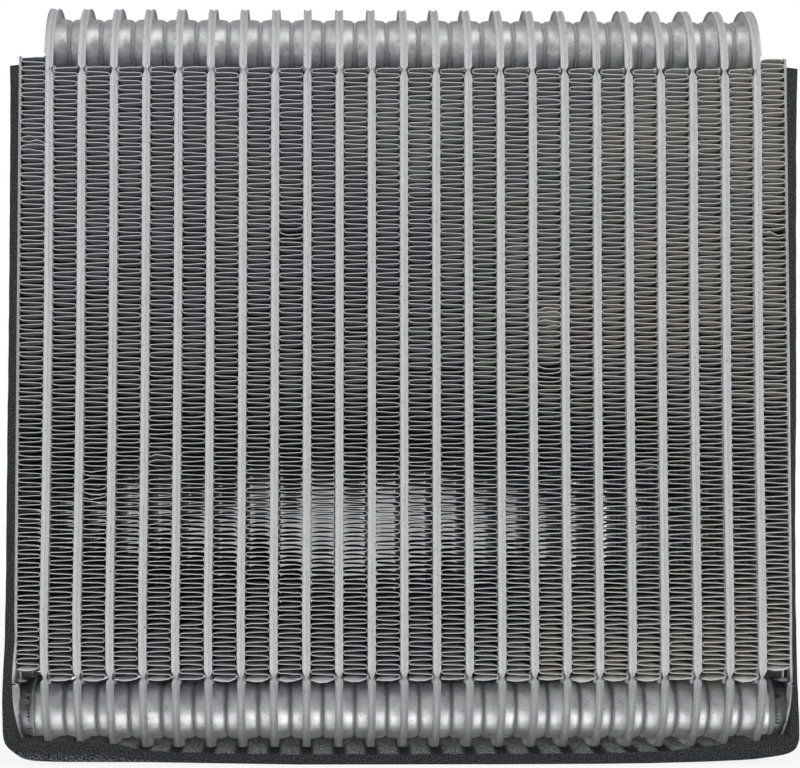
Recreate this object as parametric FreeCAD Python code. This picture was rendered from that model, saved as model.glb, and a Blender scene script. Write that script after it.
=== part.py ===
import FreeCAD, Part
import math
import os

# Laminated evaporator core for an air-conditioning unit, in millimetres.
# Flat tubes, each brazed from two pressed plates, stand side by side with folded fins between
# them. Every plate ends in a drawn cup above and below, and the cups meet end to end and make
# the two tanks. X runs across the tubes, Y goes from the air face to the back, and Z is up.
# The origin is the middle of the foam's underside, on which the core stands.

# Core
tube_count = 23
tube_pitch = 10.6
tube_thickness = 2.8
core_depth = 50.0
neck_span = 200.0           # from the lower neck to the upper neck of a plate

# Tube plates
plate_sheet = 0.5
lip_height = 0.8            # how far the flared lip stands out from the brazed flange
lip_gap = 0.1               # from the lip's tip to the plane of the fin's crests
lip_notch = 2.0             # the lips stop this far above and below a neck
channel_edge = 1.9          # from a plate's edge to the foot of its raised channel
rib_count = 3
rib_width = 1.2             # flat of a pressed rib, where it meets the other plate
rib_end_gap = 8.0           # from the neck to the end of a rib

# Drawn cups
flange_width = 3.3          # from the rim's edge to the cup's wall
cup_corner_radius = 8.8
cup_start = 1.5             # from the neck to the flat side of the cup
shoulder_chamfer = 1.0
opening_ledge = 3.0         # width of the ring on which two cups are brazed together
joint_ring_reach = 0.7
joint_ring_thickness = 0.6

# Fins
fold_count = 60             # fewer folds than pressed fin stock has, in thicker sheet of equal weight
fin_sheet = 0.2
fin_setback = 0.4           # from the tubes' front edge to the fin's edge
fin_overrun = 0.9           # how far an inner fin runs past the neck
outer_fin_lift = 3.4        # how much higher the two outer fins sit than the necks

# End plates
end_sheet = 0.8
end_setback = 0.8           # the end plate's edge lies this far inside the tubes' edge
end_lip_reach = 1.1
end_plate_top_gap = 0.5     # from the end plate's top edge down from the outer fin's top
tab_length = 2.6
tab_width = 8.0
tab_thickness = 0.6
tab_inset = 5.0             # from the end plate's edge to the tab
window_height = 3.6

# Foam
foam_thickness = 3.5
foam_corner_radius = 7.0
rim_press = 0.9             # how deep the rims press into the foam
foam_clearance = 0.05
foam_top = 2.3              # from the upper neck to the foam's cut ends

# Refrigerant connection
port_tubes = (11, 13)
blind_tube = 12             # its right upper cup is closed and parts the two chambers
port_rise = 11.0            # from the upper neck to the ports' axis
socket_wall = 0.5
socket_radius = 4.4         # inside of the socket that the port tube's plates form
socket_reach = 9.0          # how far it stands out behind the rim
socket_overlap = 7.0        # how far the pipe goes into it
pipe_wall = 1.0
pipe_clearance = 0.03
pipe_free_length = 6.0      # bare pipe between socket and block
pipe_seat_depth = 6.0
block_depth = 20.0
block_side_margin = 11.0    # from a port's axis to the side of the block
block_above = 11.0
block_below = 15.0
block_edge_radius = 3.0
inlet_bore_radius = 5.5
outlet_bore_radius = 7.0
port_bore_depth = 9.0
thread_radius = 2.5         # tapping size of an M6 hole
thread_depth = 12.0
thread_drop = 9.0           # from the ports' axis down to the threaded hole

# Sizes that follow from the ones above
rim_radius = core_depth / 2
half_span = neck_span / 2
half_pitch = tube_pitch / 2
seam_radius = rim_radius - lip_height
cup_radius = rim_radius - flange_width
lip_reach = tube_thickness / 2 - plate_sheet - lip_gap
fin_height = tube_pitch - tube_thickness
fin_length = neck_span + 2 * fin_overrun
lower_neck = foam_thickness - rim_press + rim_radius
core_middle = lower_neck + half_span
upper_neck = lower_neck + neck_span
last_tube_x = (tube_count - 1) / 2 * tube_pitch
stack_half_width = last_tube_x + tube_thickness / 2 + fin_height
end_outer_x = stack_half_width + end_sheet
foam_outer_x = end_outer_x + foam_thickness
port_height = upper_neck + port_rise
fin_step = fin_length / fold_count
dish_depth = stack_half_width - last_tube_x - half_pitch
end_radius = rim_radius - end_setback

# Aids to modelling
cut_margin = 1.0            # how far a cutting body runs past what it cuts
tolerance = 0.001

V = FreeCAD.Vector
ORIGIN = V(0, 0, 0)
X_AXIS = V(1, 0, 0)
Z_AXIS = V(0, 0, 1)


def save(name, shape):
    """Writes one node's STEP file."""
    shape.exportStep("parts/" + name + ".step")


def line(first, second):
    """Straight edge between two points."""
    return Part.LineSegment(first, second).toShape()


def arc(first, middle, last):
    """Round edge through three points."""
    return Part.Arc(first, middle, last).toShape()


def block(x_range, y_range, z_range):
    """Rectangular solid between two values on each axis."""
    size = [high - low for low, high in (x_range, y_range, z_range)]
    return Part.makeBox(size[0], size[1], size[2], V(x_range[0], y_range[0], z_range[0]))


def cylinder_y(radius, x, z, y_range):
    """Round bar along Y."""
    return Part.makeCylinder(radius, y_range[1] - y_range[0], V(x, y_range[0], z), V(0, 1, 0))


def polygon_face(points):
    """Flat face with straight edges."""
    return Part.Face(Part.makePolygon(points + points[:1]))


def turned_over(shape):
    """Copy turned half round the X axis, so that an upper end becomes a lower one."""
    other = shape.copy()
    other.rotate(ORIGIN, X_AXIS, 180)
    return other


def faced_left(shape):
    """Copy turned half round the Z axis, so that a plate faces the other way."""
    other = shape.copy()
    other.rotate(ORIGIN, Z_AXIS, 180)
    return other


def tube_x(number):
    """Place of a tube, counted from 1 at the left."""
    return (number - (tube_count + 1) / 2) * tube_pitch


def placed(shape, x, z=core_middle):
    """Copy moved to its place in the core."""
    other = shape.copy()
    other.translate(V(x, 0, z))
    return other


def stadium(radius, x, thickness):
    """Plate outline: straight sides and half-round ends about the two necks, with a thickness."""
    low_front = V(x, -radius, -half_span)
    low_back = V(x, radius, -half_span)
    high_back = V(x, radius, half_span)
    high_front = V(x, -radius, half_span)
    outline = Part.Wire([
        arc(low_front, V(x, 0, -half_span - radius), low_back),
        line(low_back, high_back),
        arc(high_back, V(x, 0, half_span + radius), high_front),
        line(high_front, low_front),
    ])
    return Part.Face(outline).extrude(V(thickness, 0, 0))


def cup_solid(inset, x, thickness, chamfer=0):
    """Upper cup's outline as a prism: one arc about the neck, two corner arcs and a flat side.

    inset shrinks the outline, and chamfer takes the shoulder off the end away from x.
    """
    outer = cup_radius - inset
    corner = cup_corner_radius - inset
    flat = half_span + cup_start + inset
    corner_z = flat + corner
    rise = corner_z - half_span
    reach = math.sqrt((outer - corner) ** 2 - rise ** 2)
    lean = math.atan2(rise, reach)
    middle = (lean - math.pi / 2) / 2
    top = V(x, 0, half_span + outer)
    tangent = (outer * math.cos(lean), half_span + outer * math.sin(lean))
    bulge = (reach + corner * math.cos(middle), corner_z + corner * math.sin(middle))
    outline = Part.Wire([
        line(V(x, -reach, flat), V(x, reach, flat)),
        arc(V(x, reach, flat), V(x, bulge[0], bulge[1]), V(x, tangent[0], tangent[1])),
        arc(V(x, tangent[0], tangent[1]), top, V(x, -tangent[0], tangent[1])),
        arc(V(x, -tangent[0], tangent[1]), V(x, -bulge[0], bulge[1]), V(x, -reach, flat)),
    ])
    cup = Part.Face(outline).extrude(V(thickness, 0, 0))
    if chamfer:
        end = [face for face in cup.Faces if abs(face.CenterOfMass.x - x - thickness) < tolerance][0]
        cup = cup.makeChamfer(chamfer, end.Edges)
    return cup


def lip_section(x, reach, sheet, side):
    """Cross-section of a flared lip at a plate's edge, in the plane of the upper neck."""
    return polygon_face([
        V(x, side * seam_radius, half_span),
        V(x + sheet, side * seam_radius, half_span),
        V(x + sheet + reach, side * rim_radius, half_span),
        V(x + reach, side * rim_radius, half_span),
    ])


def round_lip(x, reach, sheet, start_rise):
    """Flared lip round the upper end of a plate, from start_rise above the neck on both sides."""
    start = math.degrees(math.asin(start_rise / rim_radius))
    neck = V(0, 0, half_span)
    section = lip_section(x, reach, sheet, -1)
    section.rotate(neck, -X_AXIS, start)
    return section.revolve(neck, -X_AXIS, 180 - 2 * start)


def straight_lip(side):
    """Flared lip along the core part of a plate."""
    section = lip_section(0, lip_reach, plate_sheet, side)
    section.translate(V(0, 0, -lip_notch))
    return section.extrude(V(0, 0, 2 * lip_notch - neck_span))


def trapezoid_bar(half_width, height, length):
    """Bar along Z whose sides slope inwards at 45 degrees from its base at x = 0."""
    return polygon_face([
        V(0, -half_width, -length / 2),
        V(height, -half_width + height, -length / 2),
        V(height, half_width - height, -length / 2),
        V(0, half_width, -length / 2),
    ]).extrude(V(0, 0, length))


def rib_grooves(x_low, x_high, half_width_low):
    """The pressed ribs' prisms between two heights, opening outwards at 45 degrees."""
    length = neck_span - 2 * rib_end_gap
    half_width_high = half_width_low + x_high - x_low
    spacing = 2 * (rim_radius - channel_edge) / (rib_count + 1)
    grooves = []
    for index in range(rib_count):
        y = (index - (rib_count - 1) / 2) * spacing
        grooves.append(polygon_face([
            V(x_low, y - half_width_low, -length / 2),
            V(x_low, y + half_width_low, -length / 2),
            V(x_high, y + half_width_high, -length / 2),
            V(x_high, y - half_width_high, -length / 2),
        ]).extrude(V(0, 0, length)))
    return grooves


def channel(inset):
    """Raised channel of a plate, or the hollow in it when inset is the sheet's thickness."""
    height = tube_thickness / 2 - inset
    slope_shift = inset * math.sqrt(2)
    length = neck_span + 2 * (cup_start + plate_sheet)
    bar = trapezoid_bar(rim_radius - channel_edge - slope_shift, height, length)
    bend = inset * (math.sqrt(2) - 1)
    if inset:
        grooves = rib_grooves(0, height, rib_width / 2 + bend)
    else:
        grooves = rib_grooves(plate_sheet, height, rib_width / 2)
    return bar.cut(grooves)


def socket_half(radius, y_end):
    """Half-round bar along +Y from inside the upper cup, on the port's axis."""
    bar = cylinder_y(radius, 0, half_span + port_rise, (0, y_end))
    return bar.common(block((0, radius), (0, y_end), (0, half_span + rim_radius)))


def joint_ring():
    """Narrow collar round the end of an upper cup."""
    return cup_solid(-joint_ring_reach, half_pitch - joint_ring_thickness, joint_ring_thickness)


def plate(upper="open", ringed=False, port_side=0):
    """One pressed plate that faces +X, its brazing plane at x = 0.

    upper is open, closed or blank: a cup with an opening, a cup without one, or no cup.
    ringed gives the lower cup a collar. port_side is -1 or 1 for a plate with half a socket.
    """
    outside = [stadium(seam_radius, 0, plate_sheet), channel(0), straight_lip(-1), straight_lip(1)]
    hollow = [channel(plate_sheet)]
    lip = round_lip(0, lip_reach, plate_sheet, lip_notch)
    cup = cup_solid(0, 0, half_pitch, shoulder_chamfer)
    inner_chamfer = shoulder_chamfer - (2 - math.sqrt(2)) * plate_sheet
    cup_hollow = cup_solid(plate_sheet, 0, half_pitch - plate_sheet, inner_chamfer)
    opening = cup_solid(opening_ledge, 0, half_pitch)
    outside += [lip, turned_over(lip), turned_over(cup)]
    hollow += [turned_over(cup_hollow), turned_over(opening)]
    if ringed:
        outside.append(turned_over(joint_ring()))
    if upper != "blank":
        outside.append(cup)
        hollow.append(cup_hollow)
    if upper == "open":
        hollow.append(opening)
    if port_side:
        end = rim_radius + socket_reach
        outer_half = socket_half(socket_radius + socket_wall, end)
        inner_half = socket_half(socket_radius, end)
        if port_side < 0:
            outer_half = outer_half.mirror(ORIGIN, V(0, 1, 0))
            inner_half = inner_half.mirror(ORIGIN, V(0, 1, 0))
        outside.append(outer_half)
        hollow.append(inner_half)
    solid = outside[0].fuse(outside[1:]).cut(hollow)
    return solid.removeSplitter()


def tubes():
    """All flat tubes, each a pair of plates brazed back to back."""
    common = plate()
    blank = plate(upper="blank", ringed=True)
    closed = plate(upper="closed")
    port_right = plate(port_side=1)
    port_left = plate(port_side=-1)
    for number in range(1, tube_count + 1):
        right = common
        left = faced_left(common)
        if number == 1:
            left = faced_left(blank)
        if number == tube_count:
            right = blank
        if number == blind_tube:
            right = closed
        if number in port_tubes:
            right = port_right
            left = faced_left(port_left)
        x = tube_x(number)
        save("tube_%02d" % number, Part.makeCompound([placed(left, x), placed(right, x)]))


def fin():
    """Folded fin about its own middle: a strip of sheet that goes to and fro between two tubes.

    Each wall's sides meet its neighbour's in a mitre, so that the bends point at the tubes.
    """
    outside = fin_height / 2
    inside = outside - fin_sheet * fin_height / (fin_step + fin_sheet)
    first_side = []
    other_side = []
    for index in range(fold_count + 1):
        z = (index - fold_count / 2) * fin_step
        bends_right = index % 2 == 1
        first_side.append(V(outside if bends_right else -inside, 0, z))
        other_side.append(V(inside if bends_right else -outside, 0, z))
    strip = polygon_face(first_side + other_side[::-1])
    depth = core_depth - 2 * fin_setback
    strip.translate(V(0, -depth / 2, 0))
    return strip.extrude(V(0, depth, 0))


def fins():
    """One fin beside every tube and between each two, the outer ones a little higher."""
    folded = fin()
    for number in range(1, tube_count + 2):
        x = (number - 1 - tube_count / 2) * tube_pitch
        outer = number in (1, tube_count + 1)
        lift = outer_fin_lift if outer else 0
        save("fin_%02d" % number, placed(folded, x, core_middle + lift))


def end_plate_edge():
    """Outline of an end plate as a solid sheet that faces +X, its inner face at x = 0."""
    top = half_span + fin_overrun + outer_fin_lift - end_plate_top_gap
    outline = Part.Wire([
        arc(V(0, -end_radius, -half_span), V(0, 0, -half_span - end_radius), V(0, end_radius, -half_span)),
        line(V(0, end_radius, -half_span), V(0, end_radius, top)),
        line(V(0, end_radius, top), V(0, -end_radius, top)),
        line(V(0, -end_radius, top), V(0, -end_radius, -half_span)),
    ])
    return Part.Face(outline).extrude(V(end_sheet, 0, 0))


def round_end_strip(corners):
    """Section carried round the lower end of an end plate, between the two notches at the neck."""
    start = math.degrees(math.asin(lip_notch / end_radius))
    neck = V(0, 0, half_span)
    section = polygon_face(corners)
    section.rotate(neck, -X_AXIS, start)
    return turned_over(section.revolve(neck, -X_AXIS, 180 - 2 * start))


def end_lip():
    """Lip of an end plate, flared outwards round the lower tank."""
    return round_end_strip([
        V(0, -end_radius + lip_height, half_span),
        V(end_sheet, -end_radius + lip_height, half_span),
        V(end_sheet + end_lip_reach, -end_radius, half_span),
        V(end_lip_reach, -end_radius, half_span),
    ])


def rim_band():
    """The strip at an end plate's round edge whose place the flared lip takes."""
    return round_end_strip([
        V(-cut_margin, -end_radius + lip_height, half_span),
        V(end_sheet + cut_margin, -end_radius + lip_height, half_span),
        V(end_sheet + cut_margin, -end_radius - cut_margin, half_span),
        V(-cut_margin, -end_radius - cut_margin, half_span),
    ])


def end_dish(inset, floor_gap):
    """Dish pressed inwards against the last cup, or the hollow in it, on the lower tank."""
    dish = cup_solid(inset, floor_gap - dish_depth, dish_depth + end_sheet - floor_gap)
    return turned_over(dish)


def fin_stop(side):
    """Window cut in an end plate below its fin, and the tab bent inwards out of it."""
    inner = end_radius - tab_inset
    y_range = sorted((side * inner, side * (inner - tab_width)))
    foot = -half_span + outer_fin_lift - fin_overrun - window_height - fin_sheet
    window_z = (foot + tab_thickness, foot + window_height)
    window = block((-cut_margin, end_sheet + cut_margin), y_range, window_z)
    tab = block((-tab_length, end_sheet / 2), y_range, (foot, foot + tab_thickness))
    return window, tab


def end_plate():
    """Pressed side plate that faces +X: flat beside the fin, dished where it closes the tank."""
    ring = turned_over(cup_solid(-joint_ring_reach, -dish_depth, joint_ring_thickness))
    windows, tabs = zip(fin_stop(-1), fin_stop(1))
    sheet = end_plate_edge().cut(rim_band()).fuse([end_lip(), end_dish(0, 0), ring])
    sheet = sheet.cut([end_dish(end_sheet, end_sheet)] + list(windows))
    return sheet.fuse(list(tabs)).removeSplitter()


def tank_cap():
    """Sheet that closes an end of the upper tank, its lip nested in the rim's lip."""
    start_rise = outer_fin_lift + fin_overrun + plate_sheet
    lip = round_lip(plate_sheet, lip_reach, plate_sheet, start_rise)
    disc = Part.makeCylinder(seam_radius, plate_sheet, V(plate_sheet, 0, half_span), X_AXIS)
    z_range = (half_span + start_rise, half_span + rim_radius)
    above = block((0, tube_pitch), (-rim_radius, rim_radius), z_range)
    return disc.common(above).fuse(lip).removeSplitter()


def sides():
    """End plates and tank caps, the left ones turned round."""
    for name, maker, x in (("end_plate", end_plate, stack_half_width), ("tank_cap", tank_cap, last_tube_x)):
        right = maker()
        save(name + "_right", placed(right, x))
        save(name + "_left", placed(faced_left(right), -x))


def foam_strap(x_outer, low, corner_radius):
    """Solid of the space inside a U-shaped outline, as deep as the core and open above."""
    top = upper_neck + foam_top
    front = -core_depth / 2
    bend = corner_radius * (1 - math.sqrt(0.5))
    outline = Part.Wire([
        line(V(-x_outer, front, top), V(-x_outer, front, low + corner_radius)),
        arc(V(-x_outer, front, low + corner_radius), V(-x_outer + bend, front, low + bend),
            V(-x_outer + corner_radius, front, low)),
        line(V(-x_outer + corner_radius, front, low), V(x_outer - corner_radius, front, low)),
        arc(V(x_outer - corner_radius, front, low), V(x_outer - bend, front, low + bend),
            V(x_outer, front, low + corner_radius)),
        line(V(x_outer, front, low + corner_radius), V(x_outer, front, top)),
        line(V(x_outer, front, top), V(-x_outer, front, top)),
    ])
    return Part.Face(outline).extrude(V(0, core_depth, 0))


def lower_half_disc(radius, x_range):
    """Half-round slab about the lower neck, which a rim presses into the foam."""
    slab = Part.makeCylinder(radius, x_range[1] - x_range[0], V(x_range[0], 0, lower_neck), X_AXIS)
    return slab.common(block(x_range, (-core_depth, core_depth), (-core_depth, lower_neck)))


def foam_seal():
    """Foam tape round both sides and the underside, with the prints of the rims in it."""
    inner_radius = foam_corner_radius - foam_thickness
    tape = foam_strap(foam_outer_x, 0, foam_corner_radius)
    tape = tape.cut(foam_strap(end_outer_x, foam_thickness, inner_radius))
    reach = rim_radius + foam_clearance
    half_rim = plate_sheet + lip_reach + foam_clearance
    prints = []
    for number in range(1, tube_count + 1):
        x = tube_x(number)
        prints.append(lower_half_disc(reach, (x - half_rim, x + half_rim)))
    lip_x = end_outer_x + end_lip_reach + foam_clearance
    inner_x = stack_half_width - foam_clearance
    end_reach = reach - end_setback
    prints.append(lower_half_disc(end_reach, (inner_x, lip_x)))
    prints.append(lower_half_disc(end_reach, (-lip_x, -inner_x)))
    return tape.cut(prints).removeSplitter()


def pipe(x, y_start, y_end):
    """Short straight pipe from a socket to the connector block."""
    outer = socket_radius - pipe_clearance
    bar = cylinder_y(outer, x, port_height, (y_start, y_end))
    return bar.cut(cylinder_y(outer - pipe_wall, x, port_height, (y_start, y_end)))


def connector_block(xs, y_front):
    """Machined block with a seat for each pipe, two port bores and a threaded hole at the back."""
    y_back = y_front + block_depth
    body = block(
        (xs[0] - block_side_margin, xs[1] + block_side_margin),
        (y_front, y_back),
        (port_height - block_below, port_height + block_above),
    )
    upright = [edge for edge in body.Edges if abs(edge.BoundBox.YLength - block_depth) < tolerance]
    body = body.makeFillet(block_edge_radius, upright)
    holes = []
    for x, bore_radius in zip(xs, (inlet_bore_radius, outlet_bore_radius)):
        holes.append(cylinder_y(socket_radius, x, port_height, (y_front, y_front + pipe_seat_depth)))
        holes.append(cylinder_y(socket_radius - pipe_wall, x, port_height, (y_front, y_back)))
        holes.append(cylinder_y(bore_radius, x, port_height, (y_back - port_bore_depth, y_back)))
    thread_x = (xs[0] + xs[1]) / 2
    thread_z = port_height - thread_drop
    holes.append(cylinder_y(thread_radius, thread_x, thread_z, (y_back - thread_depth, y_back)))
    return body.cut(holes)


def connection():
    """Inlet and outlet pipes behind the upper tank and the block that they end in."""
    xs = [tube_x(number) for number in port_tubes]
    socket_end = rim_radius + socket_reach
    y_start = socket_end - socket_overlap
    y_front = socket_end + pipe_free_length
    save("inlet_pipe", pipe(xs[0], y_start, y_front + pipe_seat_depth))
    save("outlet_pipe", pipe(xs[1], y_start, y_front + pipe_seat_depth))
    save("connector_block", connector_block(xs, y_front))


os.makedirs("parts", exist_ok=True)
tubes()
fins()
sides()
save("foam_seal", foam_seal())
connection()
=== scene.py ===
import logging
import math
from collections.abc import Callable, Sequence
from dataclasses import dataclass
from enum import Enum
from functools import partial

import bmesh
import bpy
import numpy as np
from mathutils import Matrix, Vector


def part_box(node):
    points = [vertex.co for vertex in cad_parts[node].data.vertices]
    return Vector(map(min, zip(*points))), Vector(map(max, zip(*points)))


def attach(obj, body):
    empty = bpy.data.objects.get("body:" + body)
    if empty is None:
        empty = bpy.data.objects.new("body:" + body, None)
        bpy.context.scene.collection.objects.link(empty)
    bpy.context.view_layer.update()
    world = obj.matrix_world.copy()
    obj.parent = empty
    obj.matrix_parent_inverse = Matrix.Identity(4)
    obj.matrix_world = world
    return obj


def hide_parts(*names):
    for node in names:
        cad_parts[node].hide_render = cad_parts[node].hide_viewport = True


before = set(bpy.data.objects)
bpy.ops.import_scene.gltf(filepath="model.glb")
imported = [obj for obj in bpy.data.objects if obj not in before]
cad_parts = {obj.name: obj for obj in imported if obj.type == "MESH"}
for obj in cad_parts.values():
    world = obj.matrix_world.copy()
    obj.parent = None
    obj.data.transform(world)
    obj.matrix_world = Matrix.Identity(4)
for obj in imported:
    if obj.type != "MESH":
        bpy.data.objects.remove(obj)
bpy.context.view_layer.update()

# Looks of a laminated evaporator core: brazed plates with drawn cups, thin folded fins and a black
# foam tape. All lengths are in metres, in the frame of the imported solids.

logging.basicConfig(level=logging.INFO, format="%(message)s")
log = logging.getLogger("evaporator")

MM = 0.001
MERGE_DISTANCE = 1e-6
IMAGE_WIDTH = 800
IMAGE_HEIGHT = 768
SENSOR_WIDTH_MM = 36.0
WHITE = (1, 1, 1, 1)
Adder = Callable[..., bpy.types.Node]


class Side(Enum):
    """Which way a plate or a side of the core faces along X."""

    LEFT = -1
    RIGHT = 1


class End(Enum):
    """Upper or lower end of the core."""

    LOWER = -1
    UPPER = 1


def ramp(value: np.ndarray, start: float, end: float) -> np.ndarray:
    """Rises in a straight line from 0 at the start to 1 at the end, and is level beyond both."""
    return np.clip((value - start) / (end - start), 0, 1)


def bell(distance: np.ndarray, width: float, power: int = 2) -> np.ndarray:
    """Falls from 1 at no distance over 1/e at the width, with a flatter top for a higher power."""
    return np.exp(-((distance / width) ** power))


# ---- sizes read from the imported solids


@dataclass(frozen=True)
class Core:
    """Sizes that the whole core shares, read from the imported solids.

    Args:
        pitch: Distance between two tubes.
        rim: Radius of a plate's round ends.
        lower_neck: Height of the lower ends' centres.
        upper_neck: Height of the upper ends' centres.
        last_tube_x: Distance of the outermost tubes from the middle.
        end_face_x: Distance of the end plates' inner faces from the middle.
        tube_count: How many tubes there are.
        bow: How far the outermost tubes lean inwards at mid-height.
        wider_right: How much wider the right half stands between the tanks.
        wider_left: The same for the left half at the upper tank.
        wider_below: How much that grows per half span on the way down at the left.
        neck_fade: Height next to each neck over which the core gets wider.
    """

    pitch: float
    rim: float
    lower_neck: float
    upper_neck: float
    last_tube_x: float
    end_face_x: float
    tube_count: int
    bow: float = 0.6 * MM
    wider_right: float = 0.45 * MM
    wider_left: float = 0.1 * MM
    wider_below: float = 0.35 * MM
    neck_fade: float = 8 * MM

    @classmethod
    def from_frame(cls) -> "Core":
        """Reads the sizes from the boxes of the tubes and the outer fins.

        Returns:
            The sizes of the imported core.
        """
        tubes = sorted(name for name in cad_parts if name.startswith("tube_"))
        first_low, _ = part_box(tubes[0])
        second_low, second_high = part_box(tubes[1])
        last_low, last_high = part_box(tubes[-1])
        fin_low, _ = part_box("fin_01")
        rim = second_high.y
        return cls(
            pitch=second_low.x - first_low.x,
            rim=rim,
            lower_neck=second_low.z + rim,
            upper_neck=second_high.z - rim,
            last_tube_x=(last_low.x + last_high.x) / 2,
            end_face_x=-fin_low.x,
            tube_count=len(tubes),
        )

    @property
    def middle(self) -> float:
        """Height half-way between the necks."""
        return (self.lower_neck + self.upper_neck) / 2

    @property
    def half_span(self) -> float:
        """Half the height between the necks."""
        return (self.upper_neck - self.lower_neck) / 2

    def tube_x(self, number: int) -> float:
        """Place of a tube, counted from 1 at the left."""
        return (number - (self.tube_count + 1) / 2) * self.pitch

    def bowed(self, points: np.ndarray) -> np.ndarray:
        """Leans the stack inwards at mid-height, as brazing left it.

        The shift is the bow times x over the last tube's x, times one minus the squared height from
        the middle over half the span. It fades to nothing from the last tube to the end plate. Between
        the tanks the stack also stands a little wider, most at the left below.

        Args:
            points: Array whose last axis holds x, y and z.

        Returns:
            The same points, moved along x.
        """
        x, height = points[..., 0], points[..., 2] - self.middle
        rise = np.clip(height / self.half_span, -1, 1)
        fade = ramp(np.abs(x), self.end_face_x, self.last_tube_x)
        near_tank = ramp(np.abs(height), self.half_span, self.half_span - self.neck_fade)
        wider = np.where(x < 0, self.wider_left + self.wider_below * (1 - rise), self.wider_right)
        moved = points.copy()
        moved[..., 0] = x - (self.bow * (1 - rise**2) - wider * near_tank) * x / self.last_tube_x * fade
        return moved


# ---- meshes


@dataclass
class Surface:
    """A closed surface made of four-cornered faces.

    Args:
        points: Array of corners, n by 3.
        faces: Array of corner numbers, m by 4.
        marks: Value of each corner for the piece's attribute, n long.
    """

    points: np.ndarray
    faces: np.ndarray
    marks: np.ndarray

    @classmethod
    def sweep(
        cls, rings: np.ndarray, closed_path: bool = False, marks: np.ndarray | None = None
    ) -> "Surface":
        """Skins rings of points that follow one another along a path.

        Corner j of ring i is joined to corner j + 1 and to the same two corners of ring i + 1. An open
        path is closed at both ends by a strip across the ring, which needs an even number of corners.

        Args:
            rings: Array of rings by corners by 3.
            closed_path: True where the last ring joins the first.
            marks: Value of each corner, rings by corners, or None for zeros.

        Returns:
            The closed surface, facing outwards.
        """
        count, size, _ = rings.shape
        here = np.arange(count if closed_path else count - 1)[:, None] * size
        ahead = (here + size) % (count * size)
        side = np.arange(size)[None, :]
        beside = (side + 1) % size
        corners = [here + side, here + beside, ahead + beside, ahead + side]
        faces = np.stack(corners, axis=-1).reshape(-1, 4)
        if not closed_path:
            step = np.arange(size // 2 - 1)
            strip = np.stack([step, size - 1 - step, size - 2 - step, step + 1], axis=-1)
            last = strip[:, ::-1] + (count - 1) * size
            faces = np.concatenate([faces, strip, last])
        points = rings.reshape(-1, 3)
        values = np.zeros(len(points)) if marks is None else marks.reshape(-1)
        return cls(points, faces, values).facing_out()

    def facing_out(self) -> "Surface":
        """Turns the faces over where the enclosed volume comes out negative.

        The volume is a sixth of the sum of each triangle's corner product, two triangles a face.

        Returns:
            The surface itself.
        """
        a, b, c, d = (self.points[self.faces[:, k]] for k in range(4))
        if np.einsum("ij,ij->", a, np.cross(b, c)) + np.einsum("ij,ij->", a, np.cross(c, d)) < 0:
            self.faces = self.faces[:, ::-1].copy()
        return self


def add_object(name: str, data: bpy.types.ID) -> bpy.types.Object:
    """Puts a mesh, a lamp or a camera into the scene.

    Args:
        name: Name of the object.
        data: What it shows.

    Returns:
        The object.
    """
    made = bpy.data.objects.new(name, data)
    bpy.context.scene.collection.objects.link(made)
    return made


def add_piece(
    mesh: bpy.types.Mesh, finish: bpy.types.Material, node: str, sharp_degrees: float
) -> bpy.types.Object:
    """Smooths a mesh, gives it its finish and joins it to the core.

    Args:
        mesh: The mesh, named like the piece.
        finish: The material.
        node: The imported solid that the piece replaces.
        sharp_degrees: Edges that bend more than this stay sharp.

    Returns:
        The finished piece.
    """
    mesh.validate()
    mesh.shade_smooth()
    mesh.set_sharp_from_angle(angle=math.radians(sharp_degrees))
    mesh.materials.append(finish)
    piece = add_object(mesh.name, mesh)
    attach(piece, "root")
    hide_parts(node)
    log.info("%s: %d faces", mesh.name, len(mesh.polygons))
    return piece


@dataclass
class Piece:
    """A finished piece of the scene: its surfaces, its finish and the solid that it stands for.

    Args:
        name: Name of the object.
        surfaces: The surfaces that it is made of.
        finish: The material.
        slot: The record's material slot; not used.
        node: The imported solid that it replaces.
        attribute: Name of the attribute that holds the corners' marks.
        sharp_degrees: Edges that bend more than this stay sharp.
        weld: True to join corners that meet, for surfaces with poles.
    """

    name: str
    surfaces: list[Surface]
    finish: bpy.types.Material
    slot: str
    node: str
    attribute: str = "mark"
    sharp_degrees: float = 38.0
    weld: bool = False

    def build(self) -> bpy.types.Object:
        """Puts the surfaces into one mesh and joins the piece to the core.

        Returns:
            The finished piece.
        """
        starts = np.cumsum([0] + [len(s.points) for s in self.surfaces[:-1]])
        points = np.concatenate([s.points for s in self.surfaces])
        faces = np.concatenate([s.faces + start for s, start in zip(self.surfaces, starts)])
        marks = np.concatenate([s.marks for s in self.surfaces])
        mesh = bpy.data.meshes.new(self.name)
        mesh.vertices.add(len(points))
        mesh.vertices.foreach_set("co", points.astype(np.float32).ravel())
        mesh.loops.add(faces.size)
        mesh.loops.foreach_set("vertex_index", faces.astype(np.int32).ravel())
        mesh.polygons.add(len(faces))
        mesh.polygons.foreach_set("loop_start", np.arange(0, faces.size, 4, dtype=np.int32))
        layer = mesh.attributes.new(self.attribute, "FLOAT", "POINT")
        layer.data.foreach_set("value", marks.astype(np.float32))
        mesh.update(calc_edges=True)
        if self.weld:
            self.join_corners(mesh)
        return add_piece(mesh, self.finish, self.node, self.sharp_degrees)

    @staticmethod
    def join_corners(mesh: bpy.types.Mesh) -> None:
        """Merges corners that meet, so that poles and ends close.

        Args:
            mesh: The mesh to weld in place.
        """
        work = bmesh.new()
        work.from_mesh(mesh)
        bmesh.ops.remove_doubles(work, verts=work.verts, dist=MERGE_DISTANCE)
        bmesh.ops.recalc_face_normals(work, faces=work.faces)
        work.to_mesh(mesh)
        work.free()


# ---- finishes


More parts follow.
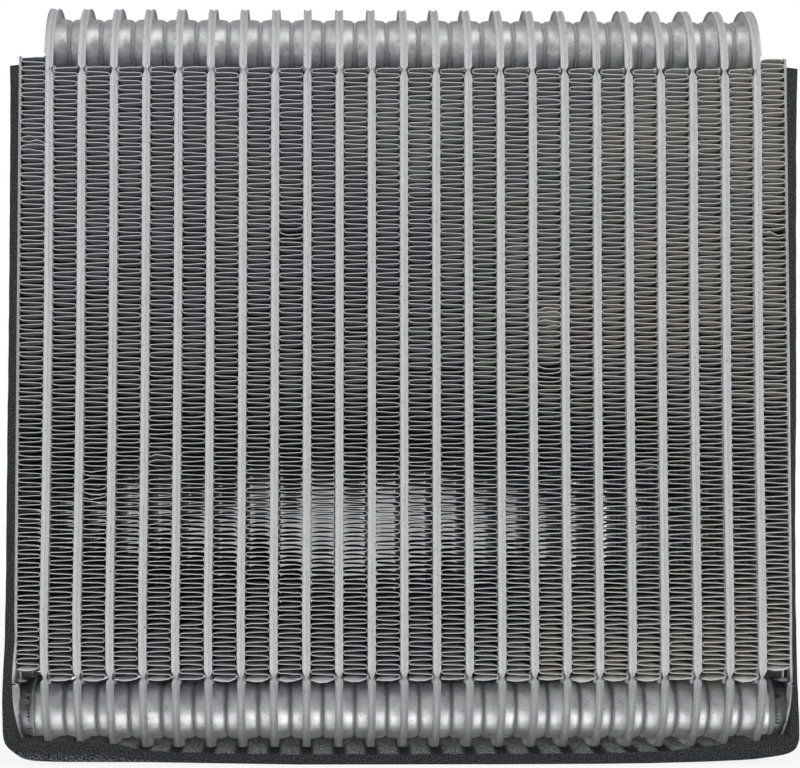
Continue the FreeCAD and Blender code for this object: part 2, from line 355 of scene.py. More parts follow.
def linear(hex_colour: str) -> tuple[float, float, float, float]:
    """Turns an sRGB hex colour into linear light.

    Args:
        hex_colour: Six hex digits after a number sign.

    Returns:
        Red, green and blue from 0 to 1, and an alpha of 1.
    """
    parts = [int(hex_colour[i : i + 2], 16) / 255 for i in (1, 3, 5)]
    light = [p / 12.92 if p <= 0.04045 else ((p + 0.055) / 1.055) ** 2.4 for p in parts]
    return (*light, 1.0)


def add_node(
    tree: bpy.types.NodeTree, kind: str, inputs: dict | Sequence = (), **settings
) -> bpy.types.Node:
    """Adds a node with its settings and links.

    Args:
        tree: The material's or world's node tree.
        kind: The node's type name, without the words that all shader nodes start with.
        inputs: What goes in: a dict by name or number, or a row for the sockets in use, in their order.
            A node stands for its first output in use, a socket for itself, and the rest are values.
        **settings: Attributes of the node.

    Returns:
        The new node.
    """
    node = tree.nodes.new(f"ShaderNode{kind}")
    for name, value in settings.items():
        setattr(node, name, value)
    if not isinstance(inputs, dict):
        inputs = dict(zip([k for k, socket in enumerate(node.inputs) if socket.enabled], inputs))
    for key, value in inputs.items():
        if isinstance(value, bpy.types.Node):
            value = next(socket for socket in value.outputs if socket.enabled)
        if isinstance(value, bpy.types.NodeSocket):
            tree.links.new(value, node.inputs[key])
        else:
            node.inputs[key].default_value = value
    return node


def empty_tree(owner: bpy.types.Material | bpy.types.World) -> Adder:
    """Clears the node tree of a material or a world.

    Args:
        owner: The material or the world.

    Returns:
        add_node for that tree.
    """
    owner.use_nodes = True
    owner.node_tree.nodes.clear()
    return partial(add_node, owner.node_tree)


@dataclass(frozen=True)
class Finish:
    """A material that ends in one surface shader.

    Args:
        name: Name of the material.
    """

    name: str

    def surface(self, add: Adder, where: bpy.types.NodeSocket) -> dict:
        """Adds the nodes that make the finish.

        Args:
            add: Adds a node to the material.
            where: The coordinates, in metres.

        Returns:
            What goes into the surface shader.
        """
        raise NotImplementedError

    def material(self) -> bpy.types.Material:
        """Builds the finish.

        Returns:
            The material.
        """
        material = bpy.data.materials.new(self.name)
        add = empty_tree(material)
        where = add("TexCoord").outputs["Object"]
        shader = add("BsdfPrincipled", self.surface(add, where))
        add("OutputMaterial", {"Surface": shader})
        return material


@dataclass(frozen=True)
class BrazedSheet(Finish):
    """Pressed aluminium sheet after furnace brazing.

    Clad aluminium, cold pressed and brazed in a furnace. The filler leaves it satin and light grey,
    with fine pits, and the flux dries to dull grey patches. Where the mark is 1, the sheared edge and
    the filler along it are rough, and so look paler than the faces in a dark room. The lower tank has
    stood in water and is rougher and less metallic; there the marked edges are painted darker, and the
    end plates' copy darkens towards the pit colour: painted shade.
    """

    name: str = "brazed_aluminium_sheet"
    bright: str = "#E6E6E8"
    stained: str = "#CBCBCF"
    pitted: str = "#7F7F84"
    edge: str = "#D8D8DB"
    # Colour of the marked edges below the lower tank's top, painted darker: painted shade.
    painted_shade_edge: str = "#A8A8AC"
    # Share by which the sheet below the lower tank's top darkens towards the pit colour: painted shade.
    painted_shade_below: float = 0.0

    # Oxide leaves the lower tank less metallic and rougher, up to these heights.
    metallic: tuple[float, float] = (0.8, 0.94)
    metallic_zone: tuple[float, float] = (11 * MM, 24 * MM)
    edge_metallic: float = 0.6
    roughness: tuple[float, float] = (0.3, 0.44)
    dull_zone: tuple[float, float] = (24 * MM, 30 * MM)
    dull_roughness: float = 0.48
    edge_roughness: float = 0.65
    stain: float = 6.0 * MM
    pit: float = 0.55 * MM
    grain: float = 0.22 * MM
    relief: float = 0.11 * MM

    def surface(self, add: Adder, where: bpy.types.NodeSocket) -> dict:
        """Lays stains, dulling by height, the edges' filler, pits and grain over one another.

        Args:
            add: Adds a node to the material.
            where: The coordinates, in metres.

        Returns:
            What goes into the surface shader.
        """
        worn = add("Attribute", attribute_name="mark").outputs["Fac"]
        height = add("SeparateXYZ", (where,)).outputs["Z"]
        dull = add("MapRange", (height, *self.dull_zone, 1.0, 0.0))
        stains = add("TexNoise", (where, 1 / self.stain, 6.0))
        faces = add("MapRange", (height, *self.metallic_zone, *self.metallic))
        metallic = add("Mix", (worn, faces, self.edge_metallic))
        satin = add("MapRange", (stains, 0.35, 0.65, *self.roughness))
        faces = add("Mix", (dull, satin, self.dull_roughness))
        rough = add("Mix", (worn, faces, self.edge_roughness))
        patch = add("MapRange", (stains, 0.40, 0.66, 0.0, 1.0))
        sheet = add("Mix", (patch, linear(self.bright), linear(self.stained)), data_type="RGBA")
        # Painted shade: below the lower tank's top the sheet darkens towards the pit colour by that
        # share.
        painted_shade_share = add("MapRange", (dull, 0.0, 1.0, 0.0, self.painted_shade_below))
        sheet = add("Mix", (painted_shade_share, sheet, linear(self.pitted)), data_type="RGBA")
        # Painted shade: marked edges below the lower tank's top take the darker colour.
        filler = add("Mix", (dull, linear(self.edge), linear(self.painted_shade_edge)), data_type="RGBA")
        sheet = add("Mix", (worn, sheet, filler), data_type="RGBA")
        pits = add("TexNoise", (where, 1 / self.pit, 1.0))
        hollow = add("MapRange", (pits, 0.26, 0.34, 0.85, 0.0))
        colour = add("Mix", (hollow, sheet, linear(self.pitted)), data_type="RGBA")
        grains = add("TexNoise", (where, 1 / self.grain, 3.0))
        bump = add("Bump", {"Strength": 0.8, "Distance": self.relief, "Height": grains})
        return {"Base Color": colour, "Metallic": metallic, "Roughness": rough, "Normal": bump}


@dataclass(frozen=True)
class FinSheet(Finish):
    """Thin folded aluminium with a drainage coating.

    Rolled aluminium strip, coated so that water runs off. The coating greys the faces and makes them
    dull, and the slit edges, where the mark is 1, stay bare and bright. The mark is also set on the
    fronts of the loose end folds, where the bright colour is a painted highlight. Towards +X the faces
    turn yellowish and lighter: a yellowish tint, lightened by painted light. The slanted louvres, one
    for each saw-tooth, show as bands of shade.
    """

    name: str = "coated_fin_aluminium"
    cool: str = "#B0B5BC"
    # The warm colour is yellowish and also lighter: the lightness is painted light on the right-hand
    # fins.
    warm: str = "#D6D6CF"
    # Colour of the bare slit edges, and of the painted highlight on the loose end folds.
    edge: str = "#FAFAFA"
    metallic: float = 0.45
    roughness: float = 0.45
    cloud: float = 60 * MM
    rightward_tint_and_light: float = 2.4
    louvre_pitch: float = 1.2 * MM
    louvre_depth: float = 0.25 * MM

    # The wave texture's scale for one wave a metre.
    wave_scale: float = 2 * math.pi / 20

    def surface(self, add: Adder, where: bpy.types.NodeSocket) -> dict:
        """Lays the dried coating, the bare edges and the louvres over one another.

        Args:
            add: Adds a node to the material.
            where: The coordinates, in metres.

        Returns:
            What goes into the surface shader.
        """
        place = add("SeparateXYZ", (where,)).outputs["X"]
        clouds = add("TexNoise", (where, 1 / self.cloud, 2.0))
        # Towards +X the faces turn yellowish and lighter; the lightness is painted light.
        tinted_and_lit = add("Math", (place, self.rightward_tint_and_light, clouds), operation="MULTIPLY_ADD")
        patch = add("MapRange", (tinted_and_lit, 0.48, 0.72, 0.0, 1.0))
        faces = add("Mix", (patch, linear(self.cool), linear(self.warm)), data_type="RGBA")
        # The mark holds the bare slit edges and the painted highlight on the loose end folds.
        mark = add("Attribute", attribute_name="cut_edge").outputs["Fac"]
        bare = add("MapRange", (mark, 0.82, 0.95, 0.0, 1.0))
        colour = add("Mix", (bare, faces, linear(self.edge)), data_type="RGBA")
        bands = {"wave_type": "BANDS", "bands_direction": "Y", "wave_profile": "SAW"}
        waves = add("TexWave", (where, self.wave_scale / self.louvre_pitch), **bands).outputs["Fac"]
        bump = add("Bump", {"Strength": 0.5, "Distance": self.louvre_depth, "Height": waves})
        surface = {"Metallic": self.metallic, "Roughness": self.roughness}
        return {"Base Color": colour, "Normal": bump, **surface}


@dataclass(frozen=True)
class FoamRubber(Finish):
    """Black open-cell foam tape.

    Foamed rubber, cut from a slab. The cut cells make it matt and grainy, and dust greys their edges.
    The inner face, where the mark is 1, keeps a coarser skin, painted paler as painted light on this
    upward face. Where the mark is below 0, in the slots that the rims pressed, the foam is painted
    black: painted shade.
    """

    name: str = "black_foam_rubber"
    # The blackest colour is painted shade in the rims' slots.
    painted_slot_shade: str = "#0A0A0B"
    deep: str = "#141517"
    dusty: str = "#4C4D4F"
    # The palest colour, on the inner face's skin, is partly painted light.
    pale: str = "#AEAEB2"
    roughness: float = 0.92
    cell: float = 0.5 * MM
    cell_depth: float = 0.35 * MM

    def surface(self, add: Adder, where: bpy.types.NodeSocket) -> dict:
        """Rubs dust or skin onto the cells' edges, except in the rims' slots, which get painted shade.

        Args:
            add: Adds a node to the material.
            where: The coordinates, in metres.

        Returns:
            What goes into the surface shader.
        """
        cells = add("TexNoise", (where, 1 / self.cell, 3.0))
        worn = add("MapRange", (cells, 0.44, 0.64, 0.0, 1.0))
        skin = add("Attribute", attribute_name="skin").outputs["Fac"]
        # Dust on the cut faces; on the inner face the paler skin, partly painted light.
        dust_and_painted_light = add("Mix", (skin, linear(self.dusty), linear(self.pale)), data_type="RGBA")
        # Painted shade: where the mark is below 0 the slots turn black.
        whole = add("MapRange", (skin, -0.6, 0.0, 0.0, 1.0))
        deep = add("Mix", (whole, linear(self.painted_slot_shade), linear(self.deep)), data_type="RGBA")
        share = add("Math", (worn, whole), operation="MULTIPLY")
        colour = add("Mix", (share, deep, dust_and_painted_light), data_type="RGBA")
        bump = add("Bump", {"Strength": 0.9, "Distance": self.cell_depth, "Height": cells})
        return {"Base Color": colour, "Roughness": self.roughness, "Normal": bump}


@dataclass(frozen=True)
class MachinedBlock(Finish):
    """Machined aluminium of the connector block.

    Sawn and milled bar, which the cutter leaves with fine parallel marks and an even light grey.
    """

    name: str = "milled_aluminium"
    bright: str = "#CDCFD1"
    shadow: str = "#B2B4B6"
    roughness: float = 0.3
    mark_pitch: float = 0.5 * MM
    mark_depth: float = 0.05 * MM
    stretch: tuple[float, float, float] = (0.05, 1.0, 1.0)

    def surface(self, add: Adder, where: bpy.types.NodeSocket) -> dict:
        """Draws noise out along X into the cutter's marks.

        Args:
            add: Adds a node to the material.
            where: The coordinates, in metres.

        Returns:
            What goes into the surface shader.
        """
        along = add("Mapping", {"Vector": where, "Scale": self.stretch})
        marks = add("TexNoise", (along, 1 / self.mark_pitch, 2.0))
        colour = add("Mix", (marks, linear(self.bright), linear(self.shadow)), data_type="RGBA")
        bump = add("Bump", {"Strength": 0.3, "Distance": self.mark_depth, "Height": marks})
        return {"Base Color": colour, "Metallic": 1.0, "Roughness": self.roughness, "Normal": bump}


# ---- tubes


@dataclass(frozen=True)
class TubeShell:
    """One flat tube: two pressed plates with flared lips, a channel and a cup at each end.

    Args:
        core: The core's shared sizes.
        number: The tube's number from the left.
        sheet: Thickness of a plate.
        lip: How far a lip stands out from the brazed flange.
        channel: Half the tube's thickness.
        channel_edge: From the rim to the channel's foot.
        cup: Radius of a cup.
        corner: Radius of a cup's lower corners.
        cup_start: From the neck to the flat side of a cup.
        foot: Heights and offsets of the corners of a cup's filleted foot.
        shoulder_length: How far a cup's shoulder reaches down its wall.
        shoulder_depth: How far it draws in.
        draft: How far a cup's wall leans in.
        bead: Height of the filler at the joint of two cups.
        collar: Height of the collar on the outermost lower cups.
        collar_turn: Shares of that height and offsets of the collar's corners.
        tank_notch: How far a lip's notch reaches towards the tank.
        core_notch: How far it reaches towards the core.
        neck_reach: Half the length of the notch's bottom.
        least_lip: Share of the lip that is left there.
        groove: Depth of the groove between the two lips.
        seam: Half the gap between the plates in the groove.
        rib_count: How many ribs are pressed into the channel.
        rib_half_width: Half the width of a rib's bottom.
        neck_width: Share of the channel's width at the necks.
        neck_stations: Stations of the outline next to a neck.
        socket_start: Where the sockets for the pipes start, behind the middle.
        socket_gap: Gap round a pipe.
        socket_bevel: Bevel of the sockets' ends.
        socket_numbers: Tubes that have a socket.
    """

    core: Core
    number: int
    sheet: float = 0.5 * MM
    lip: float = 0.8 * MM
    channel: float = 1.4 * MM
    channel_edge: float = 1.9 * MM
    cup: float = 21.7 * MM
    corner: float = 8.8 * MM
    cup_start: float = 1.5 * MM
    foot: tuple[tuple[float, float], ...] = (
        (0.1 * MM, 0.5 * MM), (0.45 * MM, 0.5 * MM), (0.95 * MM, 0.0),
    )
    shoulder_length: float = 1.6 * MM
    shoulder_depth: float = 0.95 * MM
    draft: float = 0.3 * MM
    bead: float = 0.3 * MM
    collar: float = 0.95 * MM
    collar_turn: tuple[tuple[float, float], ...] = (
        (1.02, -0.5 * MM), (1.0, 0.6 * MM), (0.85, 0.8 * MM), (0.1, 0.8 * MM), (0.0, 0.65 * MM),
    )
    tank_notch: float = 1.35 * MM
    core_notch: float = 2.5 * MM
    neck_reach: float = 0.35 * MM
    least_lip: float = 0.02
    groove: float = 0.42 * MM
    seam: float = 0.04 * MM
    rib_count: int = 3
    rib_half_width: float = 0.6 * MM
    neck_width: float = 0.82
    neck_stations: tuple[float, ...] = (0.0, 0.4 * MM, 0.55 * MM, 0.8 * MM, 1.1 * MM, 1.4 * MM, 2.5 * MM)
    socket_start: float = 19 * MM
    socket_gap: float = 0.03 * MM
    socket_bevel: float = 0.15 * MM
    socket_numbers: tuple[int, ...] = (11, 13)

    @property
    def name(self) -> str:
        """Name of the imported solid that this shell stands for."""
        return f"tube_{self.number:02d}"

    @property
    def x(self) -> float:
        """Place of the brazing plane."""
        return self.core.tube_x(self.number)

    def rim_path(self) -> tuple[np.ndarray, np.ndarray]:
        """Stations along the plate's outline, anticlockwise from the upper end's rear side.

        Each station has an angle and the height of its centre: the angle runs half round about each
        neck, and the centre runs from neck to neck in between. Stations crowd together at the necks.

        Returns:
            The angles and the centres' heights, from the core's middle.
        """
        span, near, past_neck = self.core.half_span, np.array(self.neck_stations), 20 * MM
        close = near / self.core.rim
        bend = np.concatenate([close, np.linspace(0.2, math.pi - 0.2, 26), math.pi - close[::-1]])
        between = np.linspace(span - past_neck, past_neck - span, 7)
        run = np.concatenate([span - near[1:], between, near[:0:-1] - span])
        turned = np.full(len(run), math.pi)
        angles = np.concatenate([bend, turned, bend + math.pi, 2 * turned])
        top = np.full(len(bend), span)
        return angles, np.concatenate([top, run, -top, run[::-1]])

    def lip_share(self, angles: np.ndarray, centres: np.ndarray, side: Side) -> np.ndarray:
        """How far the lip is flared at each station, from 0 at a neck to 1.

        Towards the tank each notch is a round bite: with d for the distance from the neck over the
        notch's reach, the share is the square root of 1 - (1 - d) squared. Towards the core the share
        is d to the power of 1.15. The blank plates at both ends of the core keep their lip at the upper
        necks.

        Args:
            angles: The stations' angles.
            centres: The heights of their centres.
            side: The plate.

        Returns:
            The share at each station.
        """
        above = np.abs(np.sin(angles)) * self.core.rim
        below = self.core.half_span - np.abs(centres)
        bite = ramp(above, self.neck_reach, self.tank_notch)
        slope = ramp(below, self.neck_reach, self.core_notch)
        share = np.maximum(np.maximum(np.sqrt(1 - (1 - bite) ** 2), slope**1.15), self.least_lip)
        if self.is_blank_side(side):
            share = np.where(centres + np.sin(angles) * self.core.rim > 0, 1.0, share)
        return share

    def rim_surface(self) -> Surface:
        """Both plates' flanges and lips as one closed band.

        At each station a section of eighteen corners is placed by its distance from the station's
        centre, and the lips' corners move out with the lips' share. Filler has run into the groove
        between the lips and left it shallow.

        Returns:
            The band.
        """
        angles, centres = self.rim_path()
        inner = self.core.rim - self.lip
        rows = []
        for side in (Side.RIGHT, Side.LEFT):
            flare = self.lip_share(angles, centres, side) * self.lip
            level = np.zeros_like(flare)
            bottom = inner + np.maximum(flare - self.groove, 0)
            # Distance from the brazing plane and from the centre: the flange's outer face, the lip's
            # bend, its edge, and its inner face down to the filler in the groove.
            half = [
                (level + self.sheet, level),
                (level + self.sheet, level + inner - 0.9 * MM),
                (level + self.sheet + 0.1 * flare, level + inner),
                (flare + self.sheet, flare + inner - 0.14 * MM),
                (flare + 0.6 * self.sheet, flare + inner),
                (0.75 * flare + 0.3 * self.sheet, flare + inner - 0.1 * self.groove),
                (0.3 * flare + 0.3 * self.sheet, bottom + 0.25 * self.groove),
                (level + 2 * self.seam, bottom),
                (level + self.seam, bottom - 0.12 * MM),
            ]
            corners = [(side.value * x, r) for x, r in half]
            rows += corners if side is Side.RIGHT else corners[::-1]
        x = np.stack([row[0] for row in rows], axis=1) + self.x
        r = np.stack([row[1] for row in rows], axis=1)
        y = r * np.cos(angles)[:, None]
        z = r * np.sin(angles)[:, None] + centres[:, None] + self.core.middle
        worn = np.array([0.0, 0.0, 0.3, 1.0, 1.0, 1.0, 0.8, 0.6, 0.6])
        marks = np.broadcast_to(np.concatenate([worn, worn[::-1]]), x.shape)
        rings = self.core.bowed(np.stack([x, y, z], axis=-1))
        return Surface.sweep(rings, closed_path=True, marks=marks)

    def cup_path(self) -> tuple[np.ndarray, np.ndarray]:
        """Outline of a cup about its neck, and the outward directions along it.

        A wide arc about the neck runs into two corner arcs, and a flat side joins them.

        Returns:
            Points and directions, each n by 2, in y and z.
        """
        corner_z = self.cup_start + self.corner
        reach = math.sqrt((self.cup - self.corner) ** 2 - corner_z**2)
        lean = math.atan2(corner_z, reach)
        turns = (
            (np.linspace(-math.pi / 2, lean, 6)[:-1], self.corner, (reach, corner_z)),
            (np.linspace(lean, math.pi - lean, 31), self.cup, (0.0, 0.0)),
            (np.linspace(math.pi - lean, 1.5 * math.pi, 6)[1:], self.corner, (-reach, corner_z)),
        )
        ways = [np.stack([np.cos(turn), np.sin(turn)], axis=-1) for turn, _, _ in turns]
        points = [np.array(centre) + way * radius for way, (_, radius, centre) in zip(ways, turns)]
        return np.concatenate(points), np.concatenate(ways)

    def cup_surface(self, side: Side, end: End) -> Surface:
        """A drawn cup, with a filleted foot and a rounded shoulder.

        The section is a row of heights above the plate and of offsets from the cup's outline: a foot,
        a wall with draft, a quarter of an ellipse as the shoulder, and half a bead of filler at the
        joint with the next cup. It is carried round the outline. The outermost lower cups end in a
        collar.

        Args:
            side: The plate.
            end: Upper or lower cup.

        Returns:
            The cup, closed by its end face and by a face inside the plate.
        """
        outline, way = self.cup_path()
        top = self.core.pitch / 2
        last = top - self.bead
        turn = np.linspace(0, math.pi / 2, 5)
        foot_height, foot_offset = np.array(self.foot).T
        height = np.append(foot_height, last - self.shoulder_length * (1 - np.sin(turn)))
        offset = np.append(foot_offset, -self.draft - self.shoulder_depth * (1 - np.cos(turn)))
        worn = np.zeros(len(height) + 2)
        if self.is_blank_side(side) and end is End.LOWER:
            share, ring_offset = np.array(self.collar_turn).T
            height = np.append(height[:-3], top - self.collar * share)
            offset = np.append(offset[:-3], ring_offset)
            worn[-4:] = 1.0
        else:
            height = np.append(height, [last + 0.3 * self.bead, top])
            offset = np.append(offset, [offset[-1] + 0.6 * self.bead, offset[-1] + self.bead])
            worn[-3:] = 1.0
        ring = outline[None] + way[None] * offset[:, None, None]
        x = self.x + side.value * height[:, None] * np.ones(len(outline))
        z = end.value * (ring[..., 1] + self.core.half_span) + self.core.middle
        rings = np.stack([x, ring[..., 0], z], axis=-1)
        caps = rings[[0, -1]]
        caps[..., 1] = 0.0
        caps[..., 2] = self.core.middle + end.value * (self.core.half_span + self.cup / 2)
        rings = np.concatenate([caps[:1], rings, caps[1:]])
        marks = np.concatenate([[0.0], worn, [worn[-1]]])[:, None]
        return Surface.sweep(rings, marks=np.broadcast_to(marks, rings.shape[:2]))

    def channel_surface(self) -> Surface:
        """The raised channel between the cups, with its pressed ribs.

        A closed section of sloping sides, flats and rib grooves is carried from cup to cup. It narrows
        at the necks.

        Returns:
            The channel.
        """
        slope = self.channel - self.sheet
        foot = self.core.rim - self.channel_edge
        spacing = 2 * foot / (self.rib_count + 1)
        centres = (np.arange(self.rib_count) - (self.rib_count - 1) / 2) * spacing
        bottom = self.rib_half_width
        steps = np.array([-bottom - slope, -bottom, bottom, bottom + slope])
        rib_y = (centres[:, None] + steps[None]).ravel()
        y = np.concatenate([[-foot, slope - foot], rib_y, [foot - slope, foot]])
        sunk = np.concatenate([[1.0, 0.0], np.tile([0.0, 1.0, 1.0, 0.0], self.rib_count), [0.0, 1.0]])
        is_rib = np.concatenate([[0, 0], np.ones(len(rib_y)), [0, 0]])
        span = self.core.half_span
        end = span - 8 * MM
        far = np.array([end + 2 * MM, span - 3 * MM, span - 1 * MM, span + self.cup_start + self.sheet])
        z = np.concatenate([-far[::-1], np.linspace(-end, end, 9), far])
        ribbed = np.concatenate([np.zeros(4), np.ones(9), np.zeros(4)])
        narrow = np.interp(np.abs(z), far[1:3], [1.0, self.neck_width])
        share = np.where(is_rib[None] > 0, sunk[None] * ribbed[:, None], sunk[None])
        right = self.channel - slope * share
        x = np.concatenate([right, -right[:, ::-1]], axis=1) + self.x
        ring_y = narrow[:, None] * np.concatenate([y, y[::-1]])[None]
        ring_z = np.broadcast_to(z[:, None], x.shape) + self.core.middle
        return Surface.sweep(self.core.bowed(np.stack([x, ring_y, ring_z], axis=-1)))

    def socket_surface(self) -> Surface:
        """The round socket that both plates of a port tube form at the back.

        A ring section of outer and inner radii is carried round the port's axis.

        Returns:
            The socket.
        """
        low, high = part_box("inlet_pipe")
        inner = (high.z - low.z) / 2 + self.socket_gap
        outer = inner + self.sheet
        start, end = self.socket_start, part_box(self.name)[1].y
        bevel = self.socket_bevel
        y, radius = np.array([
            (start, outer), (end - bevel, outer), (end, outer - bevel), (end, inner), (start, inner),
            (start, (inner + outer) / 2),
        ]).T
        turn = np.linspace(0, 2 * math.pi, 33)[:-1, None]
        x = self.x + radius[None] * np.cos(turn)
        z = (low.z + high.z) / 2 + radius[None] * np.sin(turn)
        rings = np.stack([x, np.broadcast_to(y, x.shape), z], axis=-1)
        return Surface.sweep(rings, closed_path=True)

    def is_blank_side(self, side: Side) -> bool:
        """True for the first and the last plate of the core."""
        return {1: Side.LEFT, self.core.tube_count: Side.RIGHT}.get(self.number) is side

    def build(self, finish: bpy.types.Material) -> bpy.types.Object:
        """Makes the whole tube.

        Args:
            finish: The material.

        Returns:
            The tube.
        """
        surfaces = [self.rim_surface(), self.channel_surface()]
        for side in Side:
            for end in End:
                if end is End.LOWER or not self.is_blank_side(side):
                    surfaces.append(self.cup_surface(side, end))
        if self.number in self.socket_numbers:
            surfaces.append(self.socket_surface())
        return Piece(f"{self.name}_shell", surfaces, finish, "tube_plate", self.name, weld=True).build()


# ---- fins


@dataclass(frozen=True)
class Dent:
    """A place where something has pushed the fin's front edges over.

    Args:
        fin: Number of the fin.
        height: Height of the place above the foam's underside.
        reach: How far the dent spreads along the fin.
        push: How far it moves the edges.
        uneven: How unevenly it moves them, as a share of the push.
    """

    fin: int
    height: float
    reach: float
    push: float
    uneven: float = 0.45


@dataclass(frozen=True)
class FoldedFin:
    """A folded fin at its real pitch, in the place of the plainer packed one.

    Args:
        core: The core's shared sizes.
        number: The fin's number from the left.
        walls: How many walls the strip is folded into.
        sheet: Thickness of the strip, drawn thicker than the real one so that its edges show.
        jitter: How unevenly the folds are spaced.
        drift: How much their spacing changes slowly.
        sag: How much each wall sags as a whole, and each of its corners.
        wobble: How much each wall's front edge sags as a whole, and each of its corners.
        sway: How far the walls' middles lean up and down.
        slump: How far the loose last folds hang, most at the front.
        end_slump: How far those of the outer fins hang at the back.
        tilt: How far the walls' front parts lean, down above the level height and up below it.
        level_height: Where they don't lean.
        closing: How much further the walls towards -X are bowed.
        overhang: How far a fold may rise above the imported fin.
        dents: Pushed-over places.
    """

    core: Core
    number: int
    walls: int = 137
    sheet: float = 0.17 * MM
    jitter: float = 0.06 * MM
    drift: float = 0.05 * MM
    sag: tuple[float, float] = (0.05 * MM, 0.035 * MM)
    wobble: tuple[float, float] = (0.09 * MM, 0.03 * MM)
    sway: float = 0.3 * MM
    slump: float = 2.0 * MM
    end_slump: float = 4.4 * MM
    tilt: float = 0.5 * MM
    level_height: float = 76 * MM
    closing: float = 0.3 * MM
    overhang: float = 0.4 * MM
    dents: tuple[Dent, ...] = ()

    # Where a wall's corners lie: across the gap from one tube to the next, and up from one crest to
    # the next, and how far each of them follows the sag. The crest is flat against the tube and the
    # wall between two crests nearly level.
    across: tuple[float, ...] = (-1.0, -0.88, -0.35, 0.35, 0.88, 1.0)
    upward: tuple[float, ...] = (0.13, 0.40, 0.47, 0.53, 0.60, 0.87)
    loose: tuple[float, ...] = (0.0, 0.6, 1.0, 1.0, 0.6, 0.0)

    # One row for each station from the front edge to the back edge: its place in mm, its shares of the
    # front's wobble, the louvres' lift in mm, and its shares of the sway, the tilt and the last folds'
    # bulge at the front and at the back.
    stations: tuple[tuple[float, ...], ...] = (
        (0.0, 1.0, 0.0, 0.0, 0.0, 1.0, 0.0),
        (1.2, 0.75, 0.12, 0.0, 0.35, 0.5, 0.0),
        (2.6, 0.45, 0.22, 0.0, 0.7, 0.1, 0.0),
        (3.2, 0.3, -0.1, 0.2, 0.85, 0.0, 0.0),
        (4.6, 0.1, 0.1, 0.5, 1.0, 0.0, 0.0),
        (17.0, 0.0, 0.46, 1.0, 0.3, 0.0, 0.1),
        (33.0, 0.0, 0.46, 1.0, 0.0, 0.0, 0.4),
        (48.6, 0.3, 0.15, 0.3, 0.0, 0.0, 0.95),
        (50.0, 0.7, 0.0, 0.0, 0.0, 0.0, 1.0),
    )

    @property
    def name(self) -> str:
        """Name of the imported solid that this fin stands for."""
        return f"fin_{self.number:02d}"

    def fold_line(
        self, half: float, bottom: float, top: float, random: np.random.Generator
    ) -> tuple[np.ndarray, np.ndarray]:
        """The line that the sheet's middle follows from crest to crest, seen from the front.

        The crests' heights are even, plus a slow sum of five sines and a random jitter. Between two
        crests the wall's corners are nearly level, and sag a little.

        Args:
            half: Half the fin's width.
            bottom: The lowest crest.
            top: The highest crest.
            random: The fin's own random numbers.

        Returns:
            Places across the gap and heights.
        """
        crests = np.linspace(bottom, top, self.walls + 1)
        waves = crests[:, None] * random.uniform(60, 260, 5) + random.uniform(0, 6.3, 5)
        slow = np.sin(waves).sum(axis=1) * self.drift
        crests = crests + random.normal(0, self.jitter, self.walls + 1) + slow
        crests = np.clip(crests, bottom, top)
        side = np.where(np.arange(self.walls) % 2 == 0, 1.0, -1.0)[:, None]
        sag = random.normal(0, self.sag[0], (self.walls, 1))
        sag = sag + random.normal(0, self.sag[1], (self.walls, len(self.loose)))
        x = (side * np.array(self.across) * half).ravel()
        rise = np.diff(crests)[:, None] * np.array(self.upward)
        z = (crests[:-1, None] + rise + np.array(self.loose) * sag).ravel()
        return np.append(x, x[-1]), np.append(z, crests[-1])

    def front_wobble(self, z: np.ndarray, random: np.random.Generator) -> np.ndarray:
        """How far the front edge is out of place along the fold line, with the dents.

        Args:
            z: Heights along the fold line.
            random: The fin's own random numbers.

        Returns:
            The lift at each station of the fold line.
        """
        corners = len(self.across)
        wobble = np.repeat(random.normal(0, self.wobble[0], self.walls + 1), corners)[: len(z)]
        wobble = wobble + random.normal(0, self.wobble[1], len(z))
        for dent in self.dents:
            if dent.fin == self.number:
                push = dent.push * (1 + random.normal(0, dent.uneven, len(z)))
                wobble = wobble + bell(z - dent.height, dent.reach) * push
        return wobble

    def end_folds(
        self, z: np.ndarray, crest: np.ndarray, bottom: float, top: float, random: np.random.Generator
    ) -> np.ndarray:
        """How far the loose last walls bulge at each station of the fold line and of the depth.

        The bulge is a bell curve of the distance from the fin's end, times one minus the squared place
        across the gap. It is largest at the front and the back edge.

        Args:
            z: Heights along the fold line.
            crest: Places across the gap, 1 at the tubes.
            bottom: The fin's lower end.
            top: Its upper end.
            random: The fin's own random numbers.

        Returns:
            The lift, fold stations by depth stations.
        """
        front, back = np.array(self.stations).T[-2:]
        is_outer = self.number in (1, self.core.tube_count + 1)
        width = 1.3 * MM
        lens = 1 - np.clip(crest, 0, 1) ** 2
        low_front = -self.slump * random.uniform(0.35, 1.0) * bell(z - bottom, width) * lens
        high_front = 0.35 * self.slump * random.uniform(0.2, 1.0) * bell(top - z, width) * lens
        if is_outer:
            low_back = -self.end_slump * bell(z - bottom, 2.4 * MM)
        else:
            low_back = -self.slump * bell(z - bottom, width) * lens
        return np.outer(low_front + high_front, front) + np.outer(low_back, back)

    def build(self, finish: bpy.types.Material) -> bpy.types.Object:
        """Makes the fin.

        Each station of the fold line carries a flat ring, as thick as the sheet and as deep as the
        core, set square to the line. Away from the crests the wall is lifted by its louvres, by a slow
        sway, by dents, and at both ends by the slump of the loose last fold.

        Args:
            finish: The material.

        Returns:
            The fin.
        """
        low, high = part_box(self.name)
        random = np.random.default_rng(self.number)
        half = (high.x - low.x) / 2
        x, z = self.fold_line(half, low.z + self.sheet, high.z - self.sheet, random)
        along = np.stack([np.gradient(x), np.gradient(z)], axis=-1)
        along /= np.linalg.norm(along, axis=1, keepdims=True)
        aside, upright = (along[:, ::-1] * [-1, 1] * self.sheet / 2).T[..., None]
        x = x * (half - self.sheet / 2) / half

